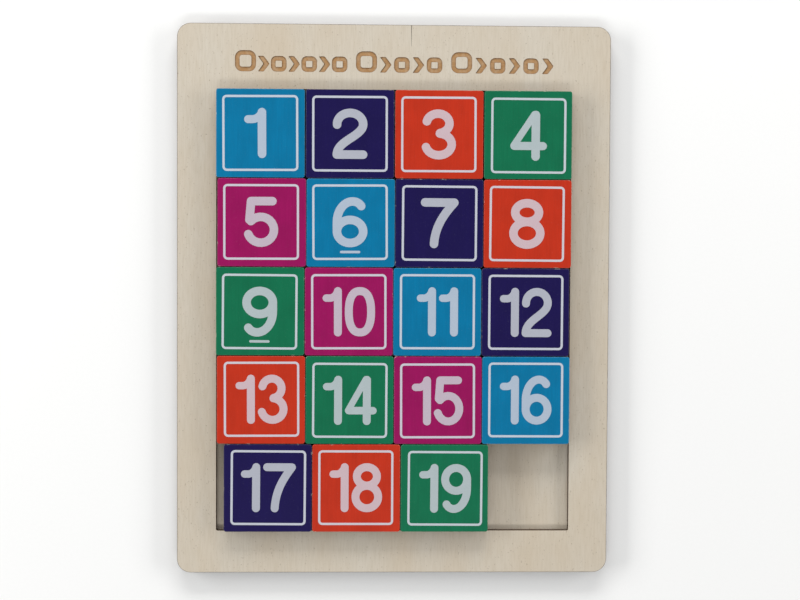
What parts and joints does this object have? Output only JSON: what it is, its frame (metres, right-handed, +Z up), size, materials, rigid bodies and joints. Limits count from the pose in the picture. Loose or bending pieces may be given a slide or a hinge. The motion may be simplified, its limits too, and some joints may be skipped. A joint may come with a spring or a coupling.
{
  "type": "sliding tile puzzle",
  "caption": "Flat wooden tray puzzle: numbered square tiles lie loose in a window cut in a plywood board, one cell left empty so they slide into it.",
  "frame": {"origin": "under the middle of the board, on the surface that it lies on", "axes": "+X across the board to its right edge, +Y up the board to its wide decorated border, +Z up out of the tray"},
  "size_m": [0.223, 0.283, 0.0103],
  "materials": {
    "plywood": "pale sanded plywood with dark laser-cut edges and a faint vertical grain",
    "blue_tile": "wooden tile printed satin blue, with a white line square and number",
    "navy_tile": "wooden tile printed satin navy, with a white line square and number",
    "red_tile": "wooden tile printed satin red, with a white line square and number",
    "green_tile": "wooden tile printed satin green, with a white line square and number",
    "magenta_tile": "wooden tile printed satin magenta, with a white line square and number"
  },
  "bodies": {
    "tray": {"back_board": "plywood", "tray_frame": "plywood"},
    "tile_01": {"tile_01": "blue_tile"},
    "tile_02": {"tile_02": "navy_tile"},
    "tile_03": {"tile_03": "red_tile"},
    "tile_04": {"tile_04": "green_tile"},
    "tile_05": {"tile_05": "magenta_tile"},
    "tile_06": {"tile_06": "blue_tile"},
    "tile_07": {"tile_07": "navy_tile"},
    "tile_08": {"tile_08": "red_tile"},
    "tile_09": {"tile_09": "green_tile"},
    "tile_10": {"tile_10": "magenta_tile"},
    "tile_11": {"tile_11": "blue_tile"},
    "tile_12": {"tile_12": "navy_tile"},
    "tile_13": {"tile_13": "red_tile"},
    "tile_14": {"tile_14": "green_tile"},
    "tile_15": {"tile_15": "magenta_tile"},
    "tile_16": {"tile_16": "blue_tile"},
    "tile_17": {"tile_17": "navy_tile"},
    "tile_18": {"tile_18": "red_tile"},
    "tile_19": {"tile_19": "green_tile"}
  },
  "joints": [
    {"name": "tile_01_lift", "type": "slide", "parent": "tray", "child": "tile_01", "axis": [0, 0, 1], "range_m": [0, 0.02]},
    {"name": "tile_02_lift", "type": "slide", "parent": "tray", "child": "tile_02", "axis": [0, 0, 1], "range_m": [0, 0.02]},
    {"name": "tile_03_lift", "type": "slide", "parent": "tray", "child": "tile_03", "axis": [0, 0, 1], "range_m": [0, 0.02]},
    {"name": "tile_04_lift", "type": "slide", "parent": "tray", "child": "tile_04", "axis": [0, 0, 1], "range_m": [0, 0.02]},
    {"name": "tile_05_lift", "type": "slide", "parent": "tray", "child": "tile_05", "axis": [0, 0, 1], "range_m": [0, 0.02]},
    {"name": "tile_06_lift", "type": "slide", "parent": "tray", "child": "tile_06", "axis": [0, 0, 1], "range_m": [0, 0.02]},
    {"name": "tile_07_lift", "type": "slide", "parent": "tray", "child": "tile_07", "axis": [0, 0, 1], "range_m": [0, 0.02]},
    {"name": "tile_08_lift", "type": "slide", "parent": "tray", "child": "tile_08", "axis": [0, 0, 1], "range_m": [0, 0.02]},
    {"name": "tile_09_lift", "type": "slide", "parent": "tray", "child": "tile_09", "axis": [0, 0, 1], "range_m": [0, 0.02]},
    {"name": "tile_10_lift", "type": "slide", "parent": "tray", "child": "tile_10", "axis": [0, 0, 1], "range_m": [0, 0.02]},
    {"name": "tile_11_lift", "type": "slide", "parent": "tray", "child": "tile_11", "axis": [0, 0, 1], "range_m": [0, 0.02]},
    {"name": "tile_12_lift", "type": "slide", "parent": "tray", "child": "tile_12", "axis": [0, 0, 1], "range_m": [0, 0.02]},
    {"name": "tile_13_lift", "type": "slide", "parent": "tray", "child": "tile_13", "axis": [0, 0, 1], "range_m": [0, 0.02]},
    {"name": "tile_14_lift", "type": "slide", "parent": "tray", "child": "tile_14", "axis": [0, 0, 1], "range_m": [0, 0.02]},
    {"name": "tile_15_lift", "type": "slide", "parent": "tray", "child": "tile_15", "axis": [0, 0, 1], "range_m": [0, 0.02]},
    {"name": "tile_16_lift", "type": "slide", "parent": "tray", "child": "tile_16", "axis": [0, 0, 1], "range_m": [0, 0.02]},
    {"name": "tile_18_lift", "type": "slide", "parent": "tile_17", "child": "tile_18", "axis": [0, 0, 1], "range_m": [0, 0.02]},
    {"name": "bottom_row_slide", "type": "slide", "parent": "tray", "child": "tile_17", "axis": [1, 0, 0], "range_m": [-0.004, 0.0418]},
    {"name": "tile_19_slide", "type": "slide", "parent": "tile_17", "child": "tile_19", "axis": [-1, 0, 0], "range_m": [-0.0418, 0]}
  ]
}
